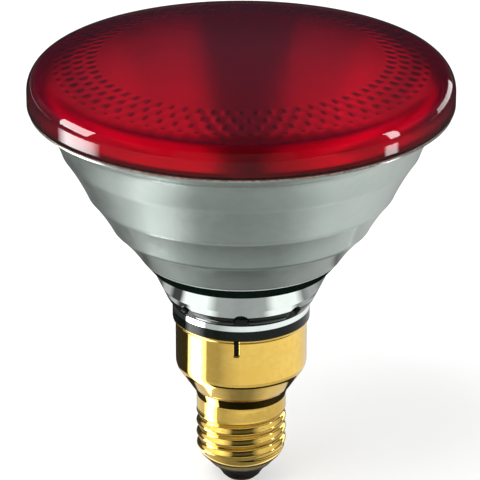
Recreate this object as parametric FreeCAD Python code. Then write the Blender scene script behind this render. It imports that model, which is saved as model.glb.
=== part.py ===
import FreeCAD, Part
import math
import os

# Infrared heat lamp bulb: a red pressed-glass lens fused to a mirrored pressed-glass reflector,
# held in a skirted brass screw cap. Millimetres. The lamp's axis is Z, the centre contact's face
# is z = 0 and the lens looks up. The side that faces the viewer is -Y.

# Heights, stacked up from the centre contact
cap_height = 52.2  # contact face to the skirt's rim
neck_height = 15.2  # skirt's rim to the corner under the bowl
bowl_height = 50.2  # that corner to the seam between reflector and lens
lens_height = 18.2  # seam to the crown of the lens

# Lens
rim_diameter = 121.0  # widest, at the lens's lower edge
lens_wall = 4.0
lens_side_height = 4.4  # upright part of the lens's rim
lens_shoulder_radius = 7.0  # rounding between rim and crown
lens_edge_radius = 0.7  # rounding of the lower edge

# Reflector
mouth_radius = 53.7  # paraboloid at the seam
paraboloid_depth = 58.9  # seam to the paraboloid's vertex
bowl_wall = 3.6  # measured square to the axis
flange_inset = 0.5  # the flange's edge lies this far inside the lens's rim
flange_edge = 0.7  # upright edge of the flange
ring_drops = (4.4, 12.75, 25.4, 35.7, 45.4)  # pressed rings round the bowl, below the seam
flute_depth = 0.35  # hollow of each band between two rings
neck_top_radius = 25.4  # corner under the bowl
neck_foot_radius = 21.3  # foot of the tapered neck
neck_foot_height = 6.4  # above the skirt's rim
neck_step_height = 1.5  # the foot turns in to the collar over this height
collar_radius = 19.9  # glass collar that sits on the skirt's rim
hub_clearance = 0.1  # between the glass hub and the skirt that grips it
hub_depth = 9.6  # how far the hub reaches down into the skirt
hub_wall = 3.4
floor_radius = 12.0  # flat floor at the bottom of the paraboloid
floor_wall = 4.5
notch_count = 8
notch_width = 4.2
notch_height = 9.0  # top of the notch above the skirt's rim

# Exhaust tip under the floor
tip_radius = 3.0
tip_bore_radius = 1.6
tip_straight = 5.0
tip_point = 4.0

# Filament and what carries it
ferrule_spacing = 15.0
ferrule_radius = 2.4
ferrule_wall = 0.4
ferrule_drop = 1.6  # below the floor's underside
post_radius = 0.55
post_overhang = 1.0  # post above the filament's axis
coil_radius = 0.8

# Skirt
skirt_radius = 19.05
skirt_sheet = 0.4
lip_flare = 0.85  # the rim stands out this far
lip_height = 1.4
lip_hollow = 0.25  # how far the lip's curl bends in from a straight flare
skirt_height = 21.8  # rim to the open lower edge of the skirt's cone
cone_foot_radius = 14.5  # of that lower edge
cone_angle = 34.0  # from the axis
skirt_shoulder_radius = 5.0
slot_count = 4
slot_width = 1.5
slot_depth = 5.0
slot_turn = -4.0  # degrees, of the front slot towards -X

# Screw shell
thread_radius = 13.15  # over the crests
shell_sheet = 0.35
shell_lap = 1.5  # how far the flare runs up inside the skirt's cone
shell_flare_drop = 3.2  # the flare starts this far below the skirt's lower edge
shell_bend_radius = 2.5  # between the threaded wall and the flare
shell_foot_height = 11.2  # where the bottom starts to turn in
shell_edge_radius = 10.9  # lower edge of the turned-in bottom
shell_edge_height = 7.4
shell_foot_bulge = 0.35  # of the turned-in bottom, out from a straight cone

# Insulator, centre contact and solder
insulator_height = 5.2  # above the shell's lower edge
insulator_radius = 11.6  # inside the shell
insulator_bore_radius = 1.7
insulator_band_width = 2.0  # glass band under the shell's edge, in towards the axis
insulator_band_drop = 2.3  # and down
insulator_hollow = 0.28  # of the cone under that band, in from a straight one
contact_radius = 5.6
contact_face_radius = 4.3
contact_height = 1.2
contact_solder_radius = 1.3
side_solder_radius = 1.0
side_solder_offset = 0.8  # from the skirt's inner face to the solder's middle

# Wires in the cap
wire_radius = 0.35
wire_bend_radius = 3.0
wire_turn_in_height = 37.6
wire_turn_down_height = 18.6

AXIS = FreeCAD.Vector(0, 0, 1)
ORIGIN = FreeCAD.Vector(0, 0, 0)

# Heights and radii that follow from the sizes above
corner_z = cap_height + neck_height
seam_z = corner_z + bowl_height
rim_radius = rim_diameter / 2
vertex_z = seam_z - paraboloid_depth
four_focal = mouth_radius**2 / paraboloid_depth
focus_z = vertex_z + four_focal / 4
floor_z = vertex_z + floor_radius**2 / four_focal
base_z = floor_z - floor_wall
hub_z = cap_height - hub_depth
hub_radius = skirt_radius - skirt_sheet - hub_clearance
ferrule_x = ferrule_spacing / 2
cone_slope = math.radians(cone_angle)
cone_foot = FreeCAD.Vector(cone_foot_radius, 0, cap_height - skirt_height)
cone_up = FreeCAD.Vector(math.sin(cone_slope), 0, math.cos(cone_slope))
cone_inward = FreeCAD.Vector(-math.cos(cone_slope), 0, math.sin(cone_slope))
lap_start = cone_foot + cone_inward * skirt_sheet
lap_end = lap_start + cone_up * shell_lap


def at(radius, z):
    return FreeCAD.Vector(radius, 0, z)


def lines(*points):
    """Straight edges from point to point."""
    return [Part.LineSegment(a, b).toShape() for a, b in zip(points, points[1:])]


def arc(start, middle, end):
    return Part.Arc(start, middle, end).toShape()


def bowed(start, end, depth):
    """An arc whose middle stands off its chord by depth, to the left of the way along it."""
    chord = end - start
    left = FreeCAD.Vector(-chord.z, 0, chord.x).normalize()
    return arc(start, (start + end) * 0.5 + left * depth, end)


def rounded_corner(before, corner, after, radius):
    """Start, middle and end of the arc that rounds a corner."""
    back = (before - corner).normalize()
    on = (after - corner).normalize()
    half = back.getAngle(on) / 2
    reach = radius / math.tan(half)
    centre = corner + (back + on).normalize() * (radius / math.sin(half))
    middle = centre + (corner - centre).normalize() * radius
    return corner + back * reach, middle, corner + on * reach


def inset(before, corner, after, depth):
    """A corner's place on the other face of a sheet, depth to the left of the way along it."""
    back = (corner - before).normalize()
    on = (after - corner).normalize()
    first = FreeCAD.Vector(-back.z, 0, back.x)
    second = FreeCAD.Vector(-on.z, 0, on.x)
    return corner + (first + second) * (depth / (1 + first.dot(second)))


def revolved(edges):
    """Turns a closed outline, drawn in the XZ plane, round the axis."""
    return Part.Face(Part.Wire(edges)).revolve(ORIGIN, AXIS, 360)


def rod(start, end, radius):
    return Part.makeCylinder(radius, (end - start).Length, start, end - start)


def bent_wire(points, radius):
    """A round wire along straight runs with rounded bends."""
    edges = []
    run_start = points[0]
    for before, corner, after in zip(points, points[1:], points[2:]):
        bend = rounded_corner(before, corner, after, wire_bend_radius)
        edges += lines(run_start, bend[0])
        edges.append(arc(*bend))
        run_start = bend[2]
    edges += lines(run_start, points[-1])
    section = Part.Wire(Part.makeCircle(radius, points[0], points[1] - points[0]))
    return Part.Wire(edges).makePipeShell([section], True, False)


def bowl_radius(z):
    """Outside of the bowl: the paraboloid and the glass round it."""
    return math.sqrt(four_focal * (z - vertex_z)) + bowl_wall


def lens_line(radius, crown_z, shoulder, side_z):
    """Shoulder and dome, tangent to each other, from the rim to the crown."""
    centre = at(radius - shoulder, side_z)
    rise = crown_z - side_z
    dome = (centre.x**2 + rise**2 - shoulder**2) / (2 * (rise - shoulder))
    dome_centre = at(0, crown_z - dome)
    outward = (centre - dome_centre).normalize()
    tangent = centre + outward * shoulder
    shoulder_middle = centre + (outward + at(1, 0)).normalize() * shoulder
    dome_middle = dome_centre + (outward + AXIS).normalize() * dome
    return [
        arc(at(radius, side_z), shoulder_middle, tangent),
        arc(tangent, dome_middle, at(0, crown_z)),
    ]


def make_lens():
    crown_z = seam_z + lens_height
    side_z = seam_z + lens_side_height
    inner_radius = rim_radius - lens_wall
    inner_crown_z = crown_z - lens_wall
    edge = rounded_corner(
        at(inner_radius, seam_z), at(rim_radius, seam_z), at(rim_radius, side_z), lens_edge_radius
    )
    outside = lens_line(rim_radius, crown_z, lens_shoulder_radius, side_z)
    inside = lens_line(inner_radius, inner_crown_z, lens_shoulder_radius - lens_wall, side_z)
    return revolved([
        *lines(at(inner_radius, seam_z), edge[0]),
        arc(*edge),
        *lines(edge[2], at(rim_radius, side_z)),
        *outside,
        *lines(at(0, crown_z), at(0, inner_crown_z)),
        *reversed(inside),
        *lines(at(inner_radius, side_z), at(inner_radius, seam_z)),
    ])


def mirror_curve():
    """The reflector's parabola, from its flat floor up to its mouth, as a quadratic curve."""
    curve = Part.BezierCurve()
    curve.setPoles([
        at(floor_radius, floor_z),
        at((floor_radius + mouth_radius) / 2, vertex_z + floor_radius * mouth_radius / four_focal),
        at(mouth_radius, seam_z),
    ])
    return curve.toShape()


def make_reflector_blank():
    rings = [at(bowl_radius(seam_z - drop), seam_z - drop) for drop in ring_drops]
    flange_radius = rim_radius - flange_inset
    flange_foot = at(flange_radius, seam_z - flange_edge)
    neck_foot_z = cap_height + neck_foot_height
    bands = zip([flange_foot, *rings], rings)
    return revolved([
        *lines(at(mouth_radius, seam_z), at(flange_radius, seam_z), flange_foot),
        *[bowed(upper, lower, -flute_depth) for upper, lower in bands],
        *lines(
            rings[-1],
            at(neck_top_radius, corner_z),
            at(neck_foot_radius, neck_foot_z),
            at(collar_radius, neck_foot_z - neck_step_height),
            at(collar_radius, cap_height),
            at(hub_radius, cap_height),
            at(hub_radius, hub_z),
            at(hub_radius - hub_wall, hub_z),
            at(hub_radius - hub_wall, base_z),
            at(tip_bore_radius, base_z),
            at(tip_bore_radius, floor_z),
            at(floor_radius, floor_z),
        ),
        mirror_curve(),
    ])


def neck_notch(turn):
    """An arched notch that runs up from the collar into the foot of the neck."""
    half = notch_width / 2
    top_z = cap_height + notch_height
    foot_z = cap_height + neck_foot_height - neck_step_height
    spring_z = top_z - half
    outline = Part.Wire([
        *lines(at(-half, spring_z), at(-half, foot_z), at(half, foot_z), at(half, spring_z)),
        arc(at(half, spring_z), at(0, top_z), at(-half, spring_z)),
    ])
    notch = Part.Face(outline).extrude(FreeCAD.Vector(0, -neck_top_radius, 0))
    notch = notch.cut(Part.makeCylinder(collar_radius, seam_z))
    notch.rotate(ORIGIN, AXIS, turn)
    return notch


def make_reflector():
    notches = [neck_notch(360 * i / notch_count) for i in range(notch_count)]
    holes = [rod(at(x, base_z), at(x, floor_z), ferrule_radius) for x in (-ferrule_x, ferrule_x)]
    return make_reflector_blank().cut(notches + holes)


def make_exhaust_tip():
    straight_z = base_z - tip_straight
    outline = lines(
        at(0, straight_z),
        at(tip_bore_radius, straight_z),
        at(tip_bore_radius, base_z),
        at(tip_radius, base_z),
        at(tip_radius, straight_z),
        at(0, straight_z - tip_point),
        at(0, straight_z),
    )
    return revolved(outline)


def make_ferrule(x):
    foot_z = base_z - ferrule_drop
    cup = rod(at(x, foot_z), at(x, floor_z), ferrule_radius)
    hollow = rod(at(x, foot_z), at(x, floor_z - ferrule_wall), ferrule_radius - ferrule_wall)
    return cup.cut(hollow)


def make_post(x):
    return rod(at(x, floor_z), at(x, focus_z + post_overhang), post_radius)


def make_filament():
    end = ferrule_x - post_radius
    return rod(at(-end, focus_z), at(end, focus_z), coil_radius)


def make_skirt():
    inner_radius = skirt_radius - skirt_sheet
    lip_z = cap_height - lip_height
    corner = cone_foot + cone_up * ((skirt_radius - cone_foot.x) / cone_up.x)
    inner_corner = lap_start + cone_up * ((inner_radius - lap_start.x) / cone_up.x)
    bend = rounded_corner(cone_foot, corner, at(skirt_radius, lip_z), skirt_shoulder_radius)
    inner_bend = rounded_corner(
        lap_start, inner_corner, at(inner_radius, lip_z), skirt_shoulder_radius - skirt_sheet
    )
    rim = at(skirt_radius + lip_flare, cap_height)
    inner_rim = at(inner_radius + lip_flare, cap_height)
    skirt = revolved([
        *lines(lap_start, cone_foot, bend[0]),
        arc(*bend),
        *lines(bend[2], at(skirt_radius, lip_z)),
        bowed(at(skirt_radius, lip_z), rim, -lip_hollow),
        *lines(rim, inner_rim),
        bowed(inner_rim, at(inner_radius, lip_z), lip_hollow),
        *lines(at(inner_radius, lip_z), inner_bend[2]),
        arc(*reversed(inner_bend)),
        *lines(inner_bend[0], lap_start),
    ])
    corner = FreeCAD.Vector(-slot_width / 2, -rim_radius, cap_height - slot_depth)
    slots = []
    for i in range(slot_count):
        slot = Part.makeBox(slot_width, rim_radius, slot_depth, corner)
        slot.rotate(ORIGIN, AXIS, slot_turn + 360 * i / slot_count)
        slots.append(slot)
    return skirt.cut(slots)


def make_shell():
    inner_radius = thread_radius - shell_sheet
    foot = at(thread_radius, shell_foot_height)
    inner_foot = at(inner_radius, shell_foot_height)
    flare = at(thread_radius, cone_foot.z - shell_flare_drop)
    inner_flare = inset(foot, flare, lap_start, shell_sheet)
    inner_start = inset(flare, lap_start, lap_end, shell_sheet)
    inner_end = lap_end + cone_inward * shell_sheet
    edge = at(shell_edge_radius, shell_edge_height)
    inner_edge = at(shell_edge_radius, shell_edge_height + shell_sheet)
    bend = rounded_corner(foot, flare, lap_start, shell_bend_radius)
    inner_bend = rounded_corner(inner_foot, inner_flare, inner_start, shell_bend_radius + shell_sheet)
    return revolved([
        bowed(edge, foot, -shell_foot_bulge),
        *lines(foot, bend[0]),
        arc(*bend),
        *lines(bend[2], lap_start, lap_end, inner_end, inner_start, inner_bend[2]),
        arc(*reversed(inner_bend)),
        *lines(inner_bend[0], inner_foot),
        bowed(inner_foot, inner_edge, shell_foot_bulge),
        *lines(inner_edge, edge),
    ])


def make_insulator(shell):
    top_z = shell_edge_height + insulator_height
    seat = at(contact_radius, contact_height)
    band_foot = at(shell_edge_radius - insulator_band_width, shell_edge_height - insulator_band_drop)
    plug = revolved([
        bowed(seat, band_foot, insulator_hollow),
        *lines(
            band_foot,
            at(shell_edge_radius, shell_edge_height),
            at(insulator_radius, shell_edge_height),
            at(insulator_radius, top_z),
            at(insulator_bore_radius, top_z),
            at(insulator_bore_radius, contact_height),
            seat,
        ),
    ])
    inside = plug.cut(shell).Solids
    return max(inside, key=lambda solid: solid.Volume)


def make_contact():
    return revolved(lines(
        at(contact_solder_radius, 0),
        at(contact_face_radius, 0),
        at(contact_radius, contact_height),
        at(contact_solder_radius, contact_height),
        at(contact_solder_radius, 0),
    ))


def make_contact_solder():
    return rod(at(0, 0), at(0, contact_height), contact_solder_radius)


def make_contact_lead():
    return bent_wire([
        at(-ferrule_x, floor_z - ferrule_wall),
        at(-ferrule_x, wire_turn_in_height),
        at(0, wire_turn_down_height),
        at(0, contact_height),
    ], wire_radius)


def side_joint():
    """Middle of the solder that joins the side wire to the upper edge of the shell."""
    return lap_end + cone_inward * side_solder_offset


def make_shell_lead():
    joint = side_joint()
    return bent_wire([
        at(ferrule_x, floor_z - ferrule_wall),
        at(ferrule_x, joint.z),
        joint,
    ], wire_radius)


def make_shell_solder(neighbours):
    return Part.makeSphere(side_solder_radius, side_joint()).cut(neighbours)


shell = make_shell()
skirt = make_skirt()
shell_lead = make_shell_lead()

pieces = {
    "lens": make_lens(),
    "reflector": make_reflector(),
    "exhaust_tip": make_exhaust_tip(),
    "ferrule_left": make_ferrule(-ferrule_x),
    "ferrule_right": make_ferrule(ferrule_x),
    "lead_post_left": make_post(-ferrule_x),
    "lead_post_right": make_post(ferrule_x),
    "filament": make_filament(),
    "skirt": skirt,
    "screw_shell": shell,
    "insulator": make_insulator(shell),
    "centre_contact": make_contact(),
    "contact_solder": make_contact_solder(),
    "contact_lead": make_contact_lead(),
    "shell_lead": shell_lead,
    "shell_solder": make_shell_solder([shell, skirt, shell_lead]),
}

os.makedirs("parts", exist_ok=True)
for name, shape in pieces.items():
    shape.exportStep("parts/" + name + ".step")
    print(name, "solids", len(shape.Solids), "valid", shape.isValid(), "volume", round(shape.Volume, 1))
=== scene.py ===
import math

import bmesh
import bpy
import numpy as np
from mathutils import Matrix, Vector


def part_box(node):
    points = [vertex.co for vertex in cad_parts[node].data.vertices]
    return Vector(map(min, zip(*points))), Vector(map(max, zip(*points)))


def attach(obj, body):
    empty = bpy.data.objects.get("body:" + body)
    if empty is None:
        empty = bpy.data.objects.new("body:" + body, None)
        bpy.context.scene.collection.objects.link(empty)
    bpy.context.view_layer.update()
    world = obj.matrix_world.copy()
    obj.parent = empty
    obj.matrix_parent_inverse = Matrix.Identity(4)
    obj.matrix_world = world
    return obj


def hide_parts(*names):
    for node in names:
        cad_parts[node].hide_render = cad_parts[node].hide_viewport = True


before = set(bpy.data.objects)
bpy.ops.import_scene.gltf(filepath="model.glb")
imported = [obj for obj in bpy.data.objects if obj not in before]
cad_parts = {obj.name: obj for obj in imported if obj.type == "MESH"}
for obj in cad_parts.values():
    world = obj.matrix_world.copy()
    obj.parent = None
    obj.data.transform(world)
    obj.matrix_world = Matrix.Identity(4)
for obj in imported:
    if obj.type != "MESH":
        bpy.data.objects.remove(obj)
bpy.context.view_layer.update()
mm = 0.001
fullTurn = 2 * math.pi
frontDegrees = -90  # the turn of the side that the photo shows
frontTurn = math.radians(frontDegrees)
rowSlack = 0.01  # mm by which a row of points may miss the height it belongs to
weldReach = 1e-8  # metres between points that become one
print("frame:", len(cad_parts), "nodes")


def boxMm(node):
    low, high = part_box(node)
    return np.array(low) / mm, np.array(high) / mm


lensLow, lensHigh = boxMm("lens")
skirtLow, skirtHigh = boxMm("skirt")
shellLow, shellHigh = boxMm("screw_shell")
bowlLow = boxMm("reflector")[0]
seamZ = lensLow[2]
crownZ = lensHigh[2]
rimRadius = lensHigh[0]
capTop = skirtHigh[2]


# Runs of profile points: column 0 is the radius, column 1 the height, in millimetres
def straightRun(start, end, steps):  # even steps from start to end, end left out
    return np.linspace(start, end, steps, endpoint=False)


def arcRun(centre, radius, first, last, steps):  # centre plus radius times (cos, sin) of an even turn
    turn = np.radians(np.linspace(first, last, steps, endpoint=False))
    return np.array(centre) + radius * np.stack([np.cos(turn), np.sin(turn)], axis=1)


def bowedRun(start, end, depth, steps):  # chord plus a parabola's sag to the left of the way
    start, end = np.array(start), np.array(end)
    part = np.linspace(0, 1, steps, endpoint=False)[:, None]
    chord = end - start
    left = np.array([-chord[1], chord[0]]) / np.hypot(*chord)
    return start + chord * part + left * depth * 4 * part * (1 - part)


# Corner: a quadratic curve that starts and ends at the cut's length from the corner
def cornerRun(before, corner, after, cut, steps):
    before, corner, after = np.array(before), np.array(corner), np.array(after)
    first = corner + (before - corner) / np.hypot(*(before - corner)) * cut
    last = corner + (after - corner) / np.hypot(*(after - corner)) * cut
    part = np.linspace(0, 1, steps)[:, None]
    return first * (1 - part) ** 2 + corner * 2 * part * (1 - part) + last * part**2


def smooth(value, low, high):  # 0 below low, 1 above high, cubic ease between
    part = np.clip((value - low) / (high - low), 0, 1)
    return part * part * (3 - 2 * part)


def within(value, band):  # true between the band's two ends
    return (value > band[0]) & (value < band[1])


# Grids and meshes
def evenTurn(columns):
    return np.linspace(0, fullTurn, columns, endpoint=False)


def carriedRound(radius, height, turn):  # point = radius times (cos, sin) of the turn, at the height
    radius, height, turn = np.broadcast_arrays(radius, height, turn)
    return np.stack([radius * np.cos(turn), radius * np.sin(turn), height], axis=-1) * mm


def gridFaces(grid, closeRows, closeColumns):  # each face joins four neighbours of the grid
    rows, columns = grid.shape[:2]
    index = np.arange(rows * columns).reshape(rows, columns)
    across = np.roll(index, -1, axis=1)
    faces = np.stack([index, across, np.roll(across, -1, axis=0), np.roll(index, -1, axis=0)], axis=-1)
    faces = faces if closeRows else faces[:-1]
    return faces if closeColumns else faces[:, :-1]


def gridMesh(name, grid, faces, materials, **marks):  # each mark is a value on every point
    mesh = bpy.data.meshes.new(name)
    mesh.from_pydata(grid.reshape(-1, 3).tolist(), [], faces.reshape(-1, 4).tolist())
    for material in materials:
        mesh.materials.append(material)
    for label, values in marks.items():
        mesh.attributes.new(label, "FLOAT", "POINT").data.foreach_set("value", values.ravel())
    return mesh


def linked(name, data):
    holder = bpy.data.objects.new(name, data)
    bpy.context.scene.collection.objects.link(holder)
    return holder


# Piece: points that meet are welded, and a closed one gets its normals turned outward
def meshPiece(name, grid, faces, materials, slots=None, sharp=40, closed=True, **marks):
    mesh = gridMesh(name, grid, faces, materials, **marks)
    if slots is not None:
        flatSlots = np.ascontiguousarray(slots.reshape(-1), dtype=np.int32)
        mesh.polygons.foreach_set("material_index", flatSlots)
    work = bmesh.new()
    work.from_mesh(mesh)
    bmesh.ops.remove_doubles(work, verts=work.verts, dist=weldReach)
    loose = [vert for vert in work.verts if not vert.link_faces]
    bmesh.ops.delete(work, geom=loose, context="VERTS")
    if closed:
        bmesh.ops.recalc_face_normals(work, faces=work.faces)
    work.to_mesh(mesh)
    work.free()
    mesh.shade_smooth()
    mesh.set_sharp_from_angle(angle=math.radians(sharp))
    return linked(name, mesh)


def thicken(piece, sheet):  # the sheet grows inward from its outer face
    solid = piece.modifiers.new("sheet", "SOLIDIFY")
    solid.thickness = sheet * mm
    solid.offset = -1


def seat(piece, node):
    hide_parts(node)
    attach(piece, "root")
    print("piece:", piece.name, len(piece.data.polygons), "faces")


# Node helpers
def link(tree, source, target):
    tree.links.new(source, target)


def newNode(tree, kind, **settings):
    node = tree.nodes.new(kind)
    for key, value in settings.items():
        setattr(node, key, value)
    return node


def setInputs(node, **values):  # an underscore stands for the space in a socket's name
    for label, value in values.items():
        node.inputs[label.replace("_", " ")].default_value = value


def newGroup(name, inputs, outputs):
    group = bpy.data.node_groups.new(name, "ShaderNodeTree")
    for label, value in inputs.items():
        socket = group.interface.new_socket(label, in_out="INPUT", socket_type="NodeSocketFloat")
        socket.default_value = value
    for label in outputs:
        group.interface.new_socket(label, in_out="OUTPUT", socket_type="NodeSocketFloat")
    return group, newNode(group, "NodeGroupInput"), newNode(group, "NodeGroupOutput")


def math2(tree, operation, first, second):
    node = newNode(tree, "ShaderNodeMath", operation=operation)
    for socket, value in zip(node.inputs, (first, second)):
        if isinstance(value, (int, float)):
            socket.default_value = value
        else:
            link(tree, value, socket)
    return node.outputs[0]


def objectPlace(tree):
    return newNode(tree, "ShaderNodeTexCoord").outputs["Object"]


def heightOf(tree, place):
    axes = newNode(tree, "ShaderNodeSeparateXYZ")
    link(tree, place, axes.inputs[0])
    return axes.outputs["Z"]


def noise(tree, place, detail):
    node = newNode(tree, "ShaderNodeTexNoise")
    setInputs(node, Detail=detail)
    link(tree, place, node.inputs["Vector"])
    return node


def sineOf(tree, value, count):  # sine of the value times the count
    return math2(tree, "SINE", math2(tree, "MULTIPLY", value, count), 0.0)


def eased(tree, value, low, high):  # 0 below low, 1 above high, cubic ease between
    node = newNode(tree, "ShaderNodeMapRange", interpolation_type="SMOOTHSTEP")
    setInputs(node, From_Min=low, From_Max=high)
    link(tree, value, node.inputs["Value"])
    return node.outputs[0]


def spread(tree, mask, low, high):  # a value from low to high by the mask
    node = newNode(tree, "ShaderNodeMapRange")
    setInputs(node, To_Min=low, To_Max=high)
    link(tree, mask, node.inputs["Value"])
    return node.outputs[0]


mixSockets = {"FLOAT": (2, 3, 0), "RGBA": (6, 7, 2)}  # places of a mix node's two inputs and its result


def mixed(tree, mask, first, second, kind="RGBA"):  # first where the mask is 0, second where it is 1
    node = newNode(tree, "ShaderNodeMix", data_type=kind)
    firstAt, secondAt, resultAt = mixSockets[kind]
    link(tree, mask, node.inputs[0])
    for place, value in ((firstAt, first), (secondAt, second)):
        if isinstance(value, tuple):
            node.inputs[place].default_value = (*value, 1)
        else:
            link(tree, value, node.inputs[place])
    return node.outputs[resultAt]


def readMark(tree, label):
    return newNode(tree, "ShaderNodeAttribute", attribute_name=label).outputs["Fac"]


def fromBehind(tree):
    return newNode(tree, "ShaderNodeNewGeometry").outputs["Backfacing"]


# Handling marks: soft cloudy noise times a finer one, eased to a mask between 0 and 1
marksSpec = dict(size=12.0, fineness=6.0, cloudDetail=3, fineDetail=4, low=0.14, high=0.4)


def makeMarksGroup():
    spec = marksSpec
    inputs = {"Size": spec["size"], "Fineness": spec["fineness"]}
    group, given, put = newGroup("handlingMarks", inputs, ["Mask", "Height"])
    place = objectPlace(group)
    cloud = noise(group, place, spec["cloudDetail"])
    fine = noise(group, place, spec["fineDetail"])
    coarseScale = math2(group, "DIVIDE", 1 / mm, given.outputs["Size"])
    link(group, coarseScale, cloud.inputs["Scale"])
    link(group, math2(group, "MULTIPLY", coarseScale, given.outputs["Fineness"]), fine.inputs["Scale"])
    both = math2(group, "MULTIPLY", cloud.outputs[0], fine.outputs[0])
    link(group, eased(group, both, spec["low"], spec["high"]), put.inputs["Mask"])
    link(group, fine.outputs[0], put.inputs["Height"])
    return group


# Drawn lines: noise stretched round the axis, plus a share of the sine of the height
drawnSpec = dict(pitch=0.25, streakScale=(60, 60, 2400), streakDetail=3, waveShare=0.15)


def makeDrawnGroup():
    spec = drawnSpec
    group, given, put = newGroup("drawnLines", {"Pitch": spec["pitch"]}, ["Lines"])
    place = objectPlace(group)
    squash = newNode(group, "ShaderNodeMapping")
    setInputs(squash, Scale=spec["streakScale"])
    link(group, place, squash.inputs["Vector"])
    streak = noise(group, squash.outputs[0], spec["streakDetail"])
    setInputs(streak, Scale=1)
    count = math2(group, "DIVIDE", fullTurn / mm, given.outputs["Pitch"])
    wave = math2(group, "MULTIPLY", sineOf(group, heightOf(group, place), count), spec["waveShare"])
    link(group, math2(group, "ADD", streak.outputs[0], wave), put.inputs["Lines"])
    return group


# Pressed rings: sine of the distance from the axis, out to the reach
pressedSpec = dict(pitch=1.05, reach=38.5)


def makeRingsGroup():
    inputs = {"Pitch": pressedSpec["pitch"], "Reach": pressedSpec["reach"]}
    group, given, put = newGroup("pressedRings", inputs, ["Height"])
    flat = newNode(group, "ShaderNodeVectorMath", operation="MULTIPLY")
    flat.inputs[1].default_value = (1 / mm, 1 / mm, 0)
    size = newNode(group, "ShaderNodeVectorMath", operation="LENGTH")
    link(group, objectPlace(group), flat.inputs[0])
    link(group, flat.outputs[0], size.inputs[0])
    distance = size.outputs["Value"]
    wave = sineOf(group, distance, math2(group, "DIVIDE", fullTurn, given.outputs["Pitch"]))
    inside = math2(group, "LESS_THAN", distance, given.outputs["Reach"])
    link(group, math2(group, "MULTIPLY", wave, inside), put.inputs["Height"])
    return group


marksGroup = makeMarksGroup()
drawnGroup = makeDrawnGroup()
ringsGroup = makeRingsGroup()


def newMaterial(name, **values):
    material = bpy.data.materials.new(name)
    material.use_nodes = True
    shader = material.node_tree.nodes["Principled BSDF"]
    setInputs(shader, **values)
    return material, material.node_tree, shader


def placeGroup(tree, group, **values):
    node = newNode(tree, "ShaderNodeGroup", node_tree=group)
    setInputs(node, **values)
    return node


def placeMarks(tree, size, fineness):
    return placeGroup(tree, marksGroup, Size=size, Fineness=fineness)


def coloured(tree, shader, mask, colours):
    link(tree, mixed(tree, mask, *colours), shader.inputs["Base Color"])


def roughened(tree, shader, mask, rough):
    link(tree, spread(tree, mask, *rough), shader.inputs["Roughness"])


def bumped(tree, shader, height, strength, distance):
    node = newNode(tree, "ShaderNodeBump")
    setInputs(node, Strength=strength, Distance=distance * mm)
    link(tree, height, node.inputs["Height"])
    link(tree, node.outputs[0], shader.inputs["Normal"])


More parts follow.
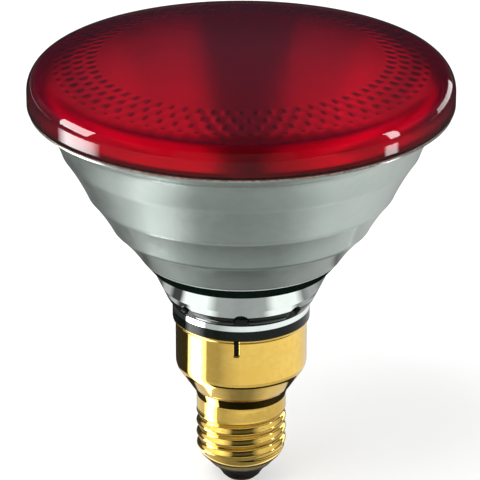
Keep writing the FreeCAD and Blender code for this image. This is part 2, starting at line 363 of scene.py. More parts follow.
# Materials in which the marks blend two colours and two roughnesses. Marks are size in mm and fineness,
# bump is strength and height in mm, and the rest are the shader's own values.
glass = dict(Transmission_Weight=1.0, IOR=1.47)
metal = dict(Metallic=1.0)
coated = dict(Metallic=1.0, Coat_Weight=0.5, Coat_Roughness=0.05)
redGlass = dict(colours=((0.80, 0.010, 0.10), (0.84, 0.012, 0.11)), marks=(26.0, 5.0), **glass)
markedLooks = dict(
    redGlassOutside=dict(rough=(0.0, 0.02), bump=(0.06, 0.05), **redGlass),
    clearGlass=dict(
        colours=((0.90, 0.95, 0.93), (0.96, 0.99, 0.97)),
        rough=(0.0, 0.03), marks=(9.0, 4.0), bump=(0.25, 0.15), **glass,
    ),
    silverSeenThroughGlass=dict(
        colours=((0.69, 0.80, 0.74), (0.73, 0.83, 0.77)),
        rough=(0.2, 0.24), marks=(15.0, 5.0), bump=(0.02, 0.02), **coated,
    ),
    neckSilver=dict(
        colours=((0.76, 0.84, 0.80), (0.82, 0.89, 0.85)),
        rough=(0.03, 0.07), marks=(15.0, 5.0), bump=(0.02, 0.02), **coated,
    ),
    mirrorInsideBowl=dict(
        colours=((0.84, 0.85, 0.83), (0.9, 0.91, 0.89)),
        rough=(0.03, 0.07), marks=(15.0, 5.0), bump=(0.02, 0.02), **metal,
    ),
    seamGlass=dict(
        colours=((0.28, 0.17, 0.12), (0.52, 0.40, 0.31)),
        rough=(0.2, 0.4), marks=(5.0, 4.0), bump=(0.2, 0.1), IOR=1.47, Coat_Weight=0.1,
    ),
    hubCement=dict(
        colours=((0.005, 0.004, 0.003), (0.011, 0.009, 0.007)),
        rough=(0.6, 0.8), marks=(3.0, 5.0), bump=(0.3, 0.1), Specular_IOR_Level=0.2,
    ),
    # Painted highlight: a bright line where the silver ends behind the glass
    silverEdgePaintedHighlight=dict(
        colours=((0.76, 0.82, 0.79), (0.86, 0.92, 0.89)),
        rough=(0.15, 0.3), marks=(5.0, 5.0), bump=(0.03, 0.1),
    ),
    # Painted shade: the near-black that the silver's edge shows through thick glass
    silverEdgePaintedShade=dict(
        colours=((0.004, 0.009, 0.007), (0.007, 0.014, 0.011)),
        rough=(0.05, 0.12), marks=(5.0, 5.0), bump=(0.03, 0.1), Specular_IOR_Level=0.0,
    ),
    # Painted shade: near-black for the dark seen through the clear neck glass
    neckPaintedShade=dict(
        colours=((0.002, 0.005, 0.004), (0.006, 0.010, 0.008)),
        rough=(0.03, 0.1), marks=(5.0, 5.0), bump=(0.2, 0.1), Specular_IOR_Level=0.15,
    ),
    solderGrey=dict(
        colours=((0.42, 0.43, 0.45), (0.66, 0.67, 0.69)),
        rough=(0.28, 0.5), marks=(2.0, 5.0), bump=(0.5, 0.1), **metal,
    ),
    wireMetal=dict(
        colours=((0.5, 0.42, 0.33), (0.68, 0.6, 0.5)),
        rough=(0.25, 0.4), marks=(2.0, 5.0), bump=(0.2, 0.1), **metal,
    ),
    ferruleMetal=dict(
        colours=((0.45, 0.43, 0.4), (0.66, 0.64, 0.6)),
        rough=(0.3, 0.45), marks=(3.0, 5.0), bump=(0.2, 0.1), **metal,
    ),
    tungstenGrey=dict(
        colours=((0.2, 0.2, 0.21), (0.32, 0.32, 0.33)),
        rough=(0.35, 0.5), marks=(1.0, 5.0), bump=(0.2, 0.1), **metal,
    ),
)


def makeMarked(name, colours, rough, marks, bump, **values):
    material, tree, shader = newMaterial(name, **values)
    placed = placeMarks(tree, *marks)
    coloured(tree, shader, placed.outputs["Mask"], colours)
    roughened(tree, shader, placed.outputs["Mask"], rough)
    bumped(tree, shader, placed.outputs["Height"], *bump)
    return material


# Inside of the lens: painted shade darkens the studs, with the fine rings as relief
redInsideLook = dict(stud=(0.10, 0.002, 0.008), rough=(0.30, 0.36), bump=(0.25, 0.02))


def makeRedInside():
    look = redInsideLook
    material, tree, shader = newMaterial("redGlassInside", **glass)
    placed = placeMarks(tree, *redGlass["marks"])
    rings = placeGroup(tree, ringsGroup, Pitch=pressedSpec["pitch"], Reach=pressedSpec["reach"])
    coloured(tree, shader, readMark(tree, "stud"), (redGlass["colours"][0], look["stud"]))
    roughened(tree, shader, placed.outputs["Mask"], look["rough"])
    bumped(tree, shader, rings.outputs["Height"], *look["bump"])
    return material


# Brass: drawn lines as relief
brassLook = dict(colours=((0.79, 0.52, 0.11), (0.84, 0.58, 0.14)), marks=(8.0, 5.0), lineHeight=0.02)


def makeBrass(name, pitch, strength, rough):
    look = brassLook
    material, tree, shader = newMaterial(name, **metal)
    placed = placeMarks(tree, *look["marks"])
    drawn = placeGroup(tree, drawnGroup, Pitch=pitch)
    coloured(tree, shader, placed.outputs["Mask"], look["colours"])
    roughened(tree, shader, placed.outputs["Mask"], rough)
    bumped(tree, shader, drawn.outputs["Lines"], strength, look["lineHeight"])
    return material


# Insulator: black below, with a painted olive highlight band where the glass meets the shell's edge
blackGlassLook = dict(
    colours=((0.012, 0.011, 0.013), (0.03, 0.028, 0.03)),
    # rim: the painted highlight colour of the band under the shell's edge
    rim=(0.34, 0.28, 0.15),
    litBandFrom=4.9,  # the painted highlight grows between these two heights
    litBandTo=6.4,
    rough=(0.08, 0.2),
    marks=(6.0, 5.0),
    bump=(0.06, 0.1),
)


def makeBlackGlass():
    look = blackGlassLook
    material, tree, shader = newMaterial("blackGlass")
    placed = placeMarks(tree, *look["marks"])
    # Painted highlight: the band under the shell's edge is made lighter by height
    paintedLitBand = eased(tree, heightOf(tree, objectPlace(tree)), look["litBandFrom"] * mm, look["litBandTo"] * mm)
    black = mixed(tree, placed.outputs["Mask"], *look["colours"])
    coloured(tree, shader, paintedLitBand, (black, look["rim"]))
    roughened(tree, shader, placed.outputs["Mask"], look["rough"])
    bumped(tree, shader, placed.outputs["Height"], *look["bump"])
    return material


finish = {name: makeMarked(name, **look) for name, look in markedLooks.items()}
redInside = makeRedInside()
skirtBrass = makeBrass("skirtBrass", pitch=0.25, strength=0.05, rough=(0.06, 0.10))
shellBrass = makeBrass("shellBrass", pitch=0.2, strength=0.01, rough=(0.04, 0.08))
blackGlass = makeBlackGlass()
print("materials:", len(bpy.data.materials))


# Lens: a closed wall of red glass, smooth outside, with rows of pressed studs inside
lensSpec = dict(
    wall=4.0,
    sideHeight=4.4,
    shoulder=7.0,
    edge=0.7,
    studsRound=68,  # studs in one row
    studInner=39.2,
    studOuter=52.6,
    studRow=3.5,  # from row to row
    studRowAt=41.7,
    studDepth=0.1,
    studFade=1.2,
    studDark=(0.25, 0.75),  # shares of the depth between which painted shade darkens a stud's glass
    innerRows=14,
    studRows=44,
    columns=680,
)


# Dome that touches the shoulder's circle: both centres and the joint are in line
def domeOf(radius, crown, shoulder, side):
    middle = radius - shoulder
    rise = crown - side
    dome = (middle**2 + rise**2 - shoulder**2) / (2 * (rise - shoulder))
    return dome, math.degrees(math.atan2(side - crown + dome, middle))


def makeLens():
    spec = lensSpec
    side = seamZ + spec["sideHeight"]
    inner = rimRadius - spec["wall"]
    innerCrown = crownZ - spec["wall"]
    innerShoulder = spec["shoulder"] - spec["wall"]
    dome, joint = domeOf(rimRadius, crownZ, spec["shoulder"], side)
    innerDome, innerJoint = domeOf(inner, innerCrown, innerShoulder, side)
    edgeMiddle = (rimRadius - spec["edge"], seamZ + spec["edge"])
    outside = np.vstack([
        straightRun((inner, seamZ), (edgeMiddle[0], seamZ), steps=3),
        arcRun(edgeMiddle, spec["edge"], -90, 0, steps=6),
        straightRun((rimRadius, edgeMiddle[1]), (rimRadius, side), steps=4),
        arcRun((rimRadius - spec["shoulder"], side), spec["shoulder"], 0, joint, steps=16),
        arcRun((0, crownZ - dome), dome, joint, 90, steps=22),
        [(0, crownZ)],
    ])
    bandRadii = np.linspace(spec["studInner"], spec["studOuter"], spec["studRows"])
    innerRadii = np.linspace(0, spec["studInner"], spec["innerRows"], endpoint=False)
    radii = np.concatenate([innerRadii, bandRadii])
    # Inside of the dome: the centre's height plus the root of its radius squared less the point's squared
    insideDome = np.stack([radii, innerCrown - innerDome + np.sqrt(innerDome**2 - radii**2)], axis=1)
    inside = np.vstack([
        insideDome,
        arcRun((inner - innerShoulder, side), innerShoulder, innerJoint, 0, steps=8),
        straightRun((inner, side), (inner, seamZ), steps=3),
    ])
    profile = np.vstack([outside, inside])
    turn = evenTurn(spec["columns"])
    radius, height = profile[:, :1], profile[:, 1:]
    # Studs: a cosine along the radius times a cosine round the axis, faded out at both edges of the band
    along = np.cos(math.pi * (radius - spec["studRowAt"]) / spec["studRow"])
    fadeIn = smooth(radius, spec["studInner"], spec["studInner"] + spec["studFade"])
    fadeOut = smooth(-radius, -spec["studOuter"], spec["studFade"] - spec["studOuter"])
    fade = fadeIn * fadeOut
    onInside = np.zeros_like(radius)
    onInside[len(outside):] = 1
    studs = spec["studDepth"] * along * np.cos(spec["studsRound"] * turn) * fade * onInside
    grid = carriedRound(radius, height + studs, turn)
    faces = gridFaces(grid, True, True)
    slots = np.zeros(faces.shape[:2])
    slots[len(outside):] = 1
    # Painted shade on the studs: the glass gets darker where a stud stands deepest
    stud = smooth(studs / spec["studDepth"], *spec["studDark"])
    lens = meshPiece("lensGlass", grid, faces, [finish["redGlassOutside"], redInside], slots, stud=stud)
    seat(lens, "lens")


makeLens()


# Reflector: fluted bowl outside, notched neck and hub below, parabola inside
bowlSpec = dict(
    mouth=53.7,
    depth=58.9,  # seam to the parabola's vertex
    wall=3.6,
    flangeInset=0.5,
    flangeEdge=0.7,
    ringDrops=(4.4, 12.75, 25.4, 35.7, 45.4),
    flute=0.35,
    neckTop=(25.4, 15.2),  # radius, and height above the skirt's rim
    neckFoot=(21.3, 6.4),
    collar=(19.9, 4.9),
    neckTopCut=1.2,  # how far from the corner each rounding starts
    neckFootCut=0.6,
    collarCut=0.5,
    hubRadius=18.55,
    hubWall=3.4,
    floorRadius=12.0,
    floorWall=4.5,
    tipBore=1.6,
    notches=8,
    notchHalf=2.1,
    notchTop=9.0,
    notchSoft=0.12,
    silverFoot=45.4,  # the silver ends this far below the seam
    paintedHighlightReach=0.2,  # its last edge, a painted highlight line
    neckBand=(8.3, 16.3),  # heights over the skirt's rim with bright silver behind the glass
    collarBand=(3.4, 4.6),
    mirrorRows=48,
    columns=432,
)
# Its finishes: silver seen from outside, painted shade on the neck glass, mirror inside, fused seam, bright
# silver, cement, painted shade at the silver's edge, and a painted highlight line on that edge
bowlFinish = dict(
    silver="silverSeenThroughGlass",
    neckShade="neckPaintedShade",
    mirror="mirrorInsideBowl",
    seam="seamGlass",
    bright="neckSilver",
    cement="hubCement",
    edge="silverEdgePaintedShade",
    edgeHighlight="silverEdgePaintedHighlight",
)


def makeReflector():
    spec = bowlSpec
    fourFocal = spec["mouth"] ** 2 / spec["depth"]
    vertex = seamZ - spec["depth"]
    floorZ = vertex + spec["floorRadius"] ** 2 / fourFocal
    baseZ = floorZ - spec["floorWall"]
    hubZ = bowlLow[2]
    hubInner = spec["hubRadius"] - spec["hubWall"]
    flange = rimRadius - spec["flangeInset"]
    # Rings: the mirror's radius at each height plus the wall, with flutes bowed inward between them
    ringZ = seamZ - np.array(spec["ringDrops"])
    rings = np.stack([np.sqrt(fourFocal * (ringZ - vertex)) + spec["wall"], ringZ], axis=1)
    flangeFoot = np.array([flange, seamZ - spec["flangeEdge"]])
    neckTop = (spec["neckTop"][0], capTop + spec["neckTop"][1])
    neckFoot = (spec["neckFoot"][0], capTop + spec["neckFoot"][1])
    collarTop = (spec["collar"][0], capTop + spec["collar"][1])
    collarFoot = (spec["collar"][0], capTop)
    upper = np.vstack([flangeFoot, rings[:-1]])
    bands = np.vstack([bowedRun(a, b, -spec["flute"], steps=12) for a, b in zip(upper, rings)])
    bendTop = cornerRun(rings[-1], neckTop, neckFoot, spec["neckTopCut"], steps=7)
    bendFoot = cornerRun(neckTop, neckFoot, collarTop, spec["neckFootCut"], steps=6)
    bendCollar = cornerRun(neckFoot, collarTop, collarFoot, spec["collarCut"], steps=6)
    seam = np.vstack([
        straightRun((spec["mouth"], seamZ), (flange, seamZ), steps=3),
        straightRun((flange, seamZ), flangeFoot, steps=2),
    ])
    outside = np.vstack([
        seam,
        bands,
        straightRun(rings[-1], bendTop[0], steps=12),
        bendTop,
        straightRun(bendTop[-1], bendFoot[0], steps=40)[1:],
        bendFoot,
        straightRun(bendFoot[-1], bendCollar[0], steps=5)[1:],
        bendCollar,
        straightRun(bendCollar[-1], collarFoot, steps=6)[1:],
    ])
    hub = np.vstack([
        straightRun(collarFoot, (spec["hubRadius"], capTop), steps=2),
        straightRun((spec["hubRadius"], capTop), (spec["hubRadius"], hubZ), steps=5),
        straightRun((spec["hubRadius"], hubZ), (hubInner, hubZ), steps=3),
        straightRun((hubInner, hubZ), (hubInner, baseZ), steps=6),
        straightRun((hubInner, baseZ), (spec["tipBore"], baseZ), steps=6),
        straightRun((spec["tipBore"], baseZ), (spec["tipBore"], floorZ), steps=4),
    ])
    floor = straightRun((spec["tipBore"], floorZ), (spec["floorRadius"], floorZ), steps=6)
    # Mirror: the vertex's height plus the radius squared over four times the focal length
    mirrorRadii = np.linspace(spec["floorRadius"], spec["mouth"], spec["mirrorRows"], endpoint=False)
    mirror = np.stack([mirrorRadii, vertex + mirrorRadii**2 / fourFocal], axis=1)
    profile = np.vstack([outside, hub, floor, mirror])
    turn = evenTurn(spec["columns"])
    radius, height = profile[:, :1], profile[:, 1:]
    # Notches: inside an arch drawn round the neck's foot, the wall steps back to the collar's radius
    period = fullTurn / spec["notches"]
    sideways = radius * (np.mod(turn - frontTurn + period / 2, period) - period / 2)
    spring = capTop + spec["notchTop"] - spec["notchHalf"]
    arch = np.hypot(sideways, height - spring)
    inward = spec["notchHalf"] - np.where(height > spring, arch, np.abs(sideways))
    onNeck = np.zeros_like(radius)
    onNeck[: len(outside)] = radius[: len(outside)] < spec["neckTop"][0]
    cut = smooth(inward, -spec["notchSoft"], spec["notchSoft"]) * onNeck
    notched = radius - cut * np.maximum(radius - spec["collar"][0], 0)
    grid = carriedRound(notched, height, turn)
    faces = gridFaces(grid, True, True)
    # Finish of each row of faces, by the height of its first points
    slotOf = {label: place for place, label in enumerate(bowlFinish)}
    rowZ = profile[:, 1]
    overCap = rowZ - capTop
    silverEnd = seamZ - spec["silverFoot"]
    silver = rowZ > silverEnd + rowSlack
    # Rows between the silver's end and the bright neck band get painted shade, the dark that the silver's
    # edge shows through the glass
    edge = (overCap >= spec["neckBand"][1]) & ~silver
    # Rows default to painted shade on the neck glass
    rows = np.full(len(profile), slotOf["neckShade"])
    rows[silver] = slotOf["silver"]
    rows[edge] = slotOf["edge"]
    # Rows at the silver's end get a painted highlight line
    rows[edge & (np.abs(rowZ - silverEnd) < spec["paintedHighlightReach"])] = slotOf["edgeHighlight"]
    rows[within(overCap, spec["neckBand"]) | within(overCap, spec["collarBand"])] = slotOf["bright"]
    rows[: len(seam) - 1] = slotOf["seam"]
    rows[len(outside):] = slotOf["cement"]
    rows[len(outside) + len(hub):] = slotOf["mirror"]
    slots = np.repeat(rows, spec["columns"])
    materials = [finish[name] for name in bowlFinish.values()]
    bowl = meshPiece("reflectorGlass", grid, faces, materials, slots, sharp=30)
    seat(bowl, "reflector")


makeReflector()


# Skirt: drawn brass sheet with a coned foot, a flared lip and slots in its rim
skirtSpec = dict(
    wallRadius=19.05,
    sheet=0.4,
    footRadius=14.5,
    coneAngle=34.0,
    shoulderCut=1.53,
    lipFlare=0.85,
    lipHeight=1.4,
    lipBow=0.2,
    slots=4,
    slotTurn=-4.0,
    slotWidth=1.5,
    slotDepth=5.0,
    columns=360,
)


def makeSkirt():
    spec = skirtSpec
    slope = math.radians(spec["coneAngle"])
    foot = np.array([spec["footRadius"], skirtLow[2]])
    corner = (spec["wallRadius"], foot[1] + (spec["wallRadius"] - foot[0]) / math.tan(slope))
    lipFoot = (spec["wallRadius"], capTop - spec["lipHeight"])
    rim = (spec["wallRadius"] + spec["lipFlare"], capTop)
    slotFoot = capTop - spec["slotDepth"]
    bend = cornerRun(foot, corner, lipFoot, spec["shoulderCut"], steps=14)
    profile = np.vstack([
        straightRun(foot, bend[0], steps=6),
        bend,
        straightRun(bend[-1], (spec["wallRadius"], slotFoot), steps=12)[1:],
        straightRun((spec["wallRadius"], slotFoot), lipFoot, steps=8),
        bowedRun(lipFoot, rim, -spec["lipBow"], steps=6),
        [rim],
    ])
    # Columns: an even turn whose nearest lines are moved on to the slots' sides
    halfTurn = spec["slotWidth"] / 2 / spec["wallRadius"]
    middles = np.radians(frontDegrees + spec["slotTurn"] + np.arange(spec["slots"]) * 360 / spec["slots"])
    sides = np.mod(np.concatenate([middles - halfTurn, middles + halfTurn]), fullTurn)
    turn = evenTurn(spec["columns"])
    turn[np.round(sides / fullTurn * spec["columns"]).astype(int) % spec["columns"]] = sides
    grid = carriedRound(profile[:, :1], profile[:, 1:], turn)
    faces = gridFaces(grid, False, True)
    faceTurn = turn + np.mod(np.roll(turn, -1) - turn, fullTurn) / 2
    away = np.abs(np.angle(np.exp(1j * (faceTurn[:, None] - middles)))).min(axis=1)
    slotFaces = (profile[:-1, 1:] > slotFoot - rowSlack) & (away < halfTurn)
    skirt = meshPiece("skirtSheet", grid, faces[~slotFaces], [skirtBrass], closed=False)
    thicken(skirt, spec["sheet"])
    seat(skirt, "skirt")


makeSkirt()


# Screw shell: turned-in foot, rolled thread, smooth collar and a flare under the skirt
shellSpec = dict(
    sheet=0.35,
    crest=13.15,
    root=12.13,
    pitch=3.629,
    crestAt=15.41,  # height of a crest at the front
    threadFoot=(9.8, 11.6),
    threadTop=(21.7, 23.3),
    threadSlack=0.1,  # the thread may stand out from the plain wall by this
    collar=13.06,
    edge=10.9,
    footTop=11.2,
    footBulge=0.35,
    bendCut=0.37,
    lap=1.5,
    flareDrop=3.2,
    columns=288,
)


def makeShell():
    spec = shellSpec
    slope = math.radians(skirtSpec["coneAngle"])
    lapEnd = np.array([shellHigh[0], shellHigh[2] - spec["sheet"] * math.sin(slope)])
    lapStart = lapEnd - spec["lap"] * np.array([math.sin(slope), math.cos(slope)])
    footEnd = (spec["collar"], spec["footTop"])
    corner = (spec["collar"], skirtLow[2] - spec["flareDrop"])
    bend = cornerRun(footEnd, corner, lapStart, spec["bendCut"], steps=7)
    foot = bowedRun((spec["edge"], shellLow[2]), footEnd, -spec["footBulge"], steps=12)
    wall = straightRun(footEnd, bend[0], steps=110)
    flare = straightRun(bend[-1], lapStart, steps=4)[1:]
    profile = np.vstack([foot, wall, bend, flare, [lapStart, lapEnd]])
    radius, height = profile[:, :1], profile[:, 1:]
    turn = evenTurn(spec["columns"])
    # Thread: a cosine of height over pitch less the turn, so that it rises as the turn grows
    phase = fullTurn * (height - spec["crestAt"]) / spec["pitch"] - (turn - frontTurn)
    depth = (spec["crest"] - spec["root"]) / 2
    threaded = np.minimum(spec["crest"] - depth + depth * np.cos(phase), radius + spec["threadSlack"])
    share = smooth(height, *spec["threadFoot"]) * (1 - smooth(height, *spec["threadTop"]))
    shaped = np.minimum(radius, spec["crest"]) * (1 - share) + threaded * share
    grid = carriedRound(np.where(share > 0, shaped, radius), height, turn)
    faces = gridFaces(grid, False, True)
    shell = meshPiece("screwShell", grid, faces, [shellBrass], sharp=60, closed=False)
    thicken(shell, spec["sheet"])
    seat(shell, "screw_shell")


makeShell()


# Filament: a wire carried along a helix between the posts
coilSpec = dict(coilRadius=0.68, wireRadius=0.11, turns=26, stepsPerTurn=18, around=8)


def makeFilament():
    spec = coilSpec
    low, high = boxMm("filament")
    middleZ = (low[2] + high[2]) / 2
    part = np.linspace(0, 1, spec["turns"] * spec["stepsPerTurn"])[:, None]
    part = np.vstack([part[:1], part, part[-1:]])
    wire = np.full_like(part, spec["wireRadius"])
    wire[[0, -1]] = 0  # both ends close to a point
    turn = part * spec["turns"] * fullTurn
    about = evenTurn(spec["around"])
    # Tube: coil radius plus wire radius times cos of the small turn, pushed along the axis by its sin
    reach = spec["coilRadius"] + wire * np.cos(about)
    x = low[0] + (high[0] - low[0]) * part + wire * np.sin(about)
    y = reach * np.cos(turn)
    z = middleZ + reach * np.sin(turn)
    grid = np.stack([x, y, z], axis=-1) * mm
    coil = meshPiece("filamentCoil", grid, gridFaces(grid, False, True), [finish["tungstenGrey"]])
    seat(coil, "filament")


makeFilament()

# CAD pieces that keep their shape and get their finish here
nodeFinish = dict(
    exhaust_tip=finish["clearGlass"],
    ferrule_left=finish["ferruleMetal"],
    ferrule_right=finish["ferruleMetal"],
    lead_post_left=finish["wireMetal"],
    lead_post_right=finish["wireMetal"],
    insulator=blackGlass,
    centre_contact=shellBrass,
    contact_solder=finish["solderGrey"],
    contact_lead=finish["wireMetal"],
    shell_lead=finish["wireMetal"],
    shell_solder=finish["solderGrey"],
)
for node, material in nodeFinish.items():
    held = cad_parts[node]
    held.data.materials.clear()
    held.data.materials.append(material)
print("finishes:", len(nodeFinish), "nodes")

# Stage: a pale floor, one soft lamp, and cards seen only in reflections or through the glass
plainWhite = (1, 1, 1, 1)
plainBlack = (0, 0, 0, 1)
stageSpec = dict(floorSize=6.0, floorColour=0.55, floorRough=0.8, floorGlow=0.5, worldFill=0.8)
lampSpec = dict(middle=(-0.5, -0.4, 1.3), aim=(0, 0, 0.08), size=0.9, power=14)
crownShadeSpec = dict(
    radius=66.0,
    tint=(0.95, 0.95, 1.4),
    rows=((129, 0.025), (140, 0.035), (164, 0.085), (200, 0.11), (300, 0.12)),  # heights in mm, brightness
    columns=96,
)
# Cards: middle and size in metres, the point that the card faces, and its brightness, where 1 is white
cardSpec = dict(
    frontFlag=dict(middle=(-0.1, -1.15, 1.0), faces=(-0.1, 0, 1.0), size=(1.4, 2.0), glow=0.16),
    highFrontFlag=dict(middle=(-0.1, -1.14, 1.65), faces=(-0.1, 0, 1.65), size=(1.4, 0.7), glow=0.02),
    backFlag=dict(middle=(0, 1.2, 0.75), faces=(0, 0, 0.75), size=(3.0, 1.5), glow=0.1),
    lowBackFlag=dict(middle=(0, 1.15, 0.21), faces=(0, 0, 0.21), size=(3.0, 0.42), glow=0.045),
    topFlag=dict(middle=(0, 0.2, 1.4), faces=(0, 0.2, 0), size=(1.0, 2.0), glow=0.1),
)
# Cards that rays through the glass don't see
mirrorCardSpec = dict(
    leftShade=dict(middle=(-1.2, -0.4, 1.0), faces=(0, -0.4, 1.0), size=(3.6, 2.0), glow=0.1),
    rightShade=dict(middle=(1.2, -0.4, 1.0), faces=(0, -0.4, 1.0), size=(3.6, 2.0), glow=0.1),
    topShade=dict(middle=(0, -0.2, 1.45), faces=(0, -0.2, 0), size=(3.2, 3.4), glow=0.1),
    frontShade=dict(middle=(0, -1.3, 1.0), faces=(0, 0, 1.0), size=(3.0, 2.0), glow=0.06),
    leftBox=dict(middle=(-0.85, 0.06, 0.36), faces=(0, 0, 0.1), size=(0.36, 0.5), glow=12),
    rightWindow=dict(middle=(0.85, -0.1, 0.3), faces=(0, 0, 0.1), size=(0.11, 0.4), glow=12),
    rightEdge=dict(middle=(0.7, 0.7, 0.12), faces=(0, 0, 0.12), size=(0.5, 0.18), glow=3),
)
# Cards that no reflection sees
glassCardSpec = dict(
    leftHighFlag=dict(middle=(-1.0, -0.65, 1.45), faces=(0, 0, 0.1), size=(0.8, 0.8), glow=0.4),
    leftFill=dict(middle=(-1.1, 0.15, 0.42), faces=(0, 0.15, 0.42), size=(0.8, 0.42), glow=2.3),
    rightFill=dict(middle=(1.1, 0.15, 0.42), faces=(0, 0.15, 0.42), size=(0.8, 0.42), glow=1.8),
)
# Flat rings round the axis: brightness at radii in metres, times that at turns in degrees from the front
# to the left. Under is the brightness from below, by the turn alone.
ringSteps = 181
neckTurns = (
    (0, 0.36), (18, 0.42), (26, 1.2), (45, 1.2), (50, 0.06), (58, 0.06), (64, 0.5), (72, 0.5), (80, 0.1),
    (280, 0.2), (292, 0.4), (300, 0.4), (308, 0.25), (316, 1.1), (335, 1.1), (342, 0.42), (360, 0.36),
)
ringSpec = dict(
    # Its dark radii are painted shadow: the floor's shade under the lamp, as reflections see it
    capShadowMat=dict(
        height=0.0001,
        back=0.007,
        radii=(
            (0.0, 0.03), (0.0160, 0.03), (0.0168, 0.8), (0.0182, 0.8), (0.0190, 0.06), (0.0196, 0.25),
            (0.031, 0.25), (0.033, 0.01), (0.045, 0.01),
        ),
        turns=(
            (0, 1), (20, 1.2), (60, 3.2), (125, 3.2), (180, 1), (235, 3.2), (300, 3.2), (340, 1.2), (360, 1),
        ),
    ),
    threadRing=dict(
        height=0.0001,
        back=0.007,
        radii=((0.046, 1), (0.073, 1)),
        turns=(
            (0, 0.75), (40, 0.6), (60, 0.8), (125, 0.8), (180, 0.3), (235, 0.8), (310, 0.7), (360, 0.75),
        ),
    ),
    tableRing=dict(
        height=0.0002,
        radii=((0.066, 1), (0.2, 1)),
        turns=(
            (0, 0.95), (20, 0.75), (37, 0.5), (55, 0.55), (90, 0.3), (100, 0.04), (165, 0.04), (190, 0.4),
            (220, 0.9), (260, 1.1), (320, 1.0), (360, 0.95),
        ),
    ),
    lowBowlRing=dict(
        height=0.057,
        radii=(
            (0.024, 0.01), (0.026, 0.01), (0.030, 0.22), (0.033, 0.26), (0.035, 0.06), (0.044, 0.3),
            (0.047, 0.28),
        ),
        turns=(
            (0, 1), (30, 1), (55, 1.7), (75, 1.2), (100, 0.5), (120, 0.4), (180, 1), (250, 1.7), (310, 1.6),
            (335, 1), (360, 1),
        ),
        under=((0, 0.12), (28, 0.15), (45, 1.2), (315, 0.8), (335, 0.15), (360, 0.12)),
    ),
    highBowlRing=dict(
        height=0.057,
        radii=((0.0475, 0.19), (0.058, 0.27), (0.08, 0.25), (0.16, 0.23)),
        turns=(
            (0, 0.95), (25, 1), (45, 2.8), (57, 3.3), (72, 1.8), (95, 0.7), (115, 0.4), (150, 0.4), (180, 1),
            (210, 1.2), (250, 2.0), (280, 2.3), (310, 2.3), (335, 1.2), (360, 0.95),
        ),
        under=(
            (0, 0.03), (24, 0.05), (44, 1.2), (60, 1.8), (100, 1.4), (130, 0.4), (235, 0.4), (270, 0.9),
            (312, 0.9), (334, 0.06), (360, 0.03),
        ),
    ),
    neckRing=dict(height=0.0625, radii=((0.0232, 1), (0.0272, 1)), turns=neckTurns),
    lowNeckRing=dict(height=0.0585, radii=((0.0223, 1), (0.0246, 1)), turns=neckTurns),
    farTable=dict(
        height=0.0002,
        radii=((0.2, 0.3), (1.2, 0.25)),
        turns=(
            (0, 1.1), (40, 1.0), (80, 0.8), (110, 0.4), (150, 0.1), (210, 0.1), (260, 0.6), (320, 0.9),
            (360, 1.1),
        ),
    ),
    leftStrip=dict(
        height=0.0003,
        radii=((0.022, 8), (0.2, 8)),
        turns=((58, 0.1), (66, 0.6), (72, 1), (88, 1), (94, 0.6), (100, 0.1)),
    ),
    leftGlow=dict(
        height=0.0004,
        radii=((0.335, 0.3), (0.341, 12), (0.6, 12)),
        turns=((74, 0.05), (80, 0.8), (86, 1), (98, 1), (106, 0.05)),
        throughGlass=False,
    ),
    rightGlow=dict(
        height=0.0004,
        radii=((0.3425, 0.3), (0.346, 8), (0.40, 8)),
        turns=((275, 0.1), (277, 1), (283, 1), (285, 0.1)),
        throughGlass=False,
    ),
)


def stagePiece(name, grid, faces, material, **marks):
    piece = linked(name, gridMesh(name, grid, faces, [material], **marks))
    return piece


# Rectangle: corners at half the size each way, in the order round it
def rectangle(size):
    sides = np.array([(-1, -1), (1, -1), (1, 1), (-1, 1)])
    return np.column_stack([sides * np.array(size) / 2, np.zeros(len(sides))])


oneFace = np.arange(4)


def seenDirectly(tree):  # 1 where the camera, a reflection or a refraction looks, else 0
    path = newNode(tree, "ShaderNodeLightPath")
    seen = math2(tree, "MAXIMUM", path.outputs["Is Camera Ray"], path.outputs["Is Glossy Ray"])
    return math2(tree, "MAXIMUM", seen, path.outputs["Is Transmission Ray"])


def makeFloor():
    spec = stageSpec
    pale = (spec["floorColour"],) * 3 + (1,)
    material, tree, shader = newMaterial("floorWhite", Roughness=spec["floorRough"], Specular_IOR_Level=0.0)
    setInputs(shader, Base_Color=pale, Emission_Color=plainWhite)
    link(tree, spread(tree, seenDirectly(tree), 0.0, spec["floorGlow"]), shader.inputs["Emission Strength"])
    # From below the floor is clear, so that the cap's underside can be seen
    sides = newNode(tree, "ShaderNodeMixShader")
    link(tree, fromBehind(tree), sides.inputs[0])
    link(tree, shader.outputs[0], sides.inputs[1])
    link(tree, newNode(tree, "ShaderNodeBsdfTransparent").outputs[0], sides.inputs[2])
    link(tree, sides.outputs[0], tree.nodes["Material Output"].inputs["Surface"])
    stagePiece("floor", rectangle((spec["floorSize"], spec["floorSize"])), oneFace, material)


def makeWorld():
    world = bpy.data.worlds.new("studio")
    world.use_nodes = True
    tree = world.node_tree
    shown = tree.nodes["Background"]
    setInputs(shown, Color=plainWhite)
    link(tree, spread(tree, seenDirectly(tree), stageSpec["worldFill"], 1.0), shown.inputs["Strength"])
    bpy.context.scene.world = world


def lookAlong(holder, place, way):
    holder.location = place
    holder.rotation_euler = way.to_track_quat("-Z", "Y").to_euler()


def makeLamp():
    spec = lampSpec
    lamp = bpy.data.lights.new("softLamp", "AREA")
    lamp.size = spec["size"]
    lamp.energy = spec["power"]
    holder = linked("softLamp", lamp)
    lookAlong(holder, spec["middle"], Vector(spec["aim"]) - Vector(spec["middle"]))
    holder.visible_glossy = False
    holder.visible_transmission = False


def glowing(name, colour=plainWhite):
    return newMaterial(name, Specular_IOR_Level=0.0, Base_Color=plainBlack, Emission_Color=colour)


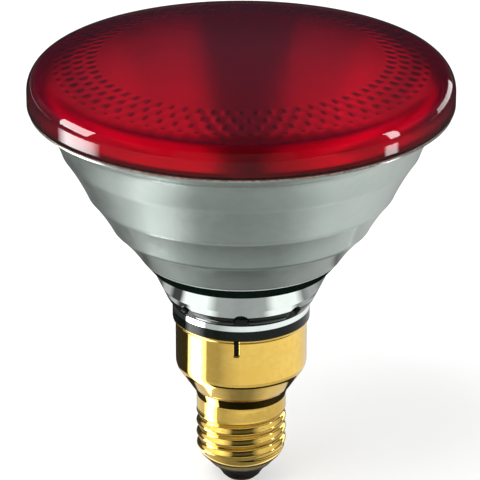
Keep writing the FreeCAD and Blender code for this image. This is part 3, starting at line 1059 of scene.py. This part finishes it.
def hideFromCamera(piece, throughGlass, mirrored=True):
    piece.visible_camera = False
    piece.visible_diffuse = False
    piece.visible_shadow = False
    piece.visible_glossy = mirrored
    piece.visible_transmission = throughGlass


# Card: a rectangle about its middle, square to the way it faces
def makeCard(name, middle, faces, size, glow, throughGlass=True, mirrored=True):
    material, _, shader = glowing(name)
    setInputs(shader, Emission_Strength=glow)
    turn = (Vector(faces) - Vector(middle)).to_track_quat("Z", "Y")
    corners = np.array([Vector(middle) + turn @ Vector(corner) for corner in rectangle(size)])
    hideFromCamera(stagePiece(name, corners, oneFace, material), throughGlass, mirrored)


# Ring: radius times (-sin, -cos) of the turn, level at the height, its middle set back
def makeRing(name, height, radii, turns, under=((0, 0), (360, 0)), back=0.0, throughGlass=True):
    material, tree, shader = glowing(name)
    strength = mixed(tree, fromBehind(tree), readMark(tree, "glow"), readMark(tree, "under"), kind="FLOAT")
    link(tree, strength, shader.inputs["Emission Strength"])
    reach, along = np.array(radii).T
    degrees, share = np.array(turns).T
    spots = np.linspace(degrees[0], degrees[-1], ringSteps)
    radius, turn = np.meshgrid(reach, np.radians(spots), indexing="ij")
    level = np.full_like(turn, height)
    grid = np.stack([-radius * np.sin(turn), back - radius * np.cos(turn), level], axis=-1)
    above = along[:, None] * np.interp(spots, degrees, share)
    below = np.broadcast_to(np.interp(spots, *np.array(under).T), turn.shape)
    faces = gridFaces(grid, False, False)
    hideFromCamera(stagePiece(name, grid, faces, material, glow=above, under=below), throughGlass)


# Crown shade: a wall round the lens, so that the dome reflects no bright card from any side
def makeCrownShade():
    spec = crownShadeSpec
    material, tree, shader = glowing("crownShade", (*spec["tint"], 1))
    link(tree, readMark(tree, "glow"), shader.inputs["Emission Strength"])
    heights, along = np.array(spec["rows"]).T
    grid = carriedRound(spec["radius"], heights[:, None], evenTurn(spec["columns"]))
    glow = np.repeat(along, spec["columns"])
    shade = stagePiece("crownShade", grid, gridFaces(grid, False, True), material, glow=glow)
    hideFromCamera(shade, throughGlass=False)


makeFloor()
makeWorld()
makeLamp()
makeCrownShade()
for name, card in cardSpec.items():
    makeCard(name, **card)
for name, card in mirrorCardSpec.items():
    makeCard(name, throughGlass=False, **card)
for name, card in glassCardSpec.items():
    makeCard(name, mirrored=False, **card)
for name, ring in ringSpec.items():
    makeRing(name, **ring)

# Camera: the photo's angle, distance and focal length
cameraSpec = dict(elevation=22.94, distance=947.3, focal=247.4, sensor=36, aim=(-0.34, 0, 75.15))


def makeCamera():
    spec = cameraSpec
    camera = bpy.data.cameras.new("camera")
    camera.lens = spec["focal"]
    camera.sensor_width = spec["sensor"]
    holder = linked("camera", camera)
    rise = math.radians(spec["elevation"])
    aim = Vector(spec["aim"]) * mm
    back = Vector((0, -math.cos(rise), math.sin(rise)))
    lookAlong(holder, aim + back * spec["distance"] * mm, -back)
    bpy.context.scene.camera = holder


makeCamera()
bpy.context.scene.view_settings.view_transform = "Standard"
print("stage, lights and camera set")
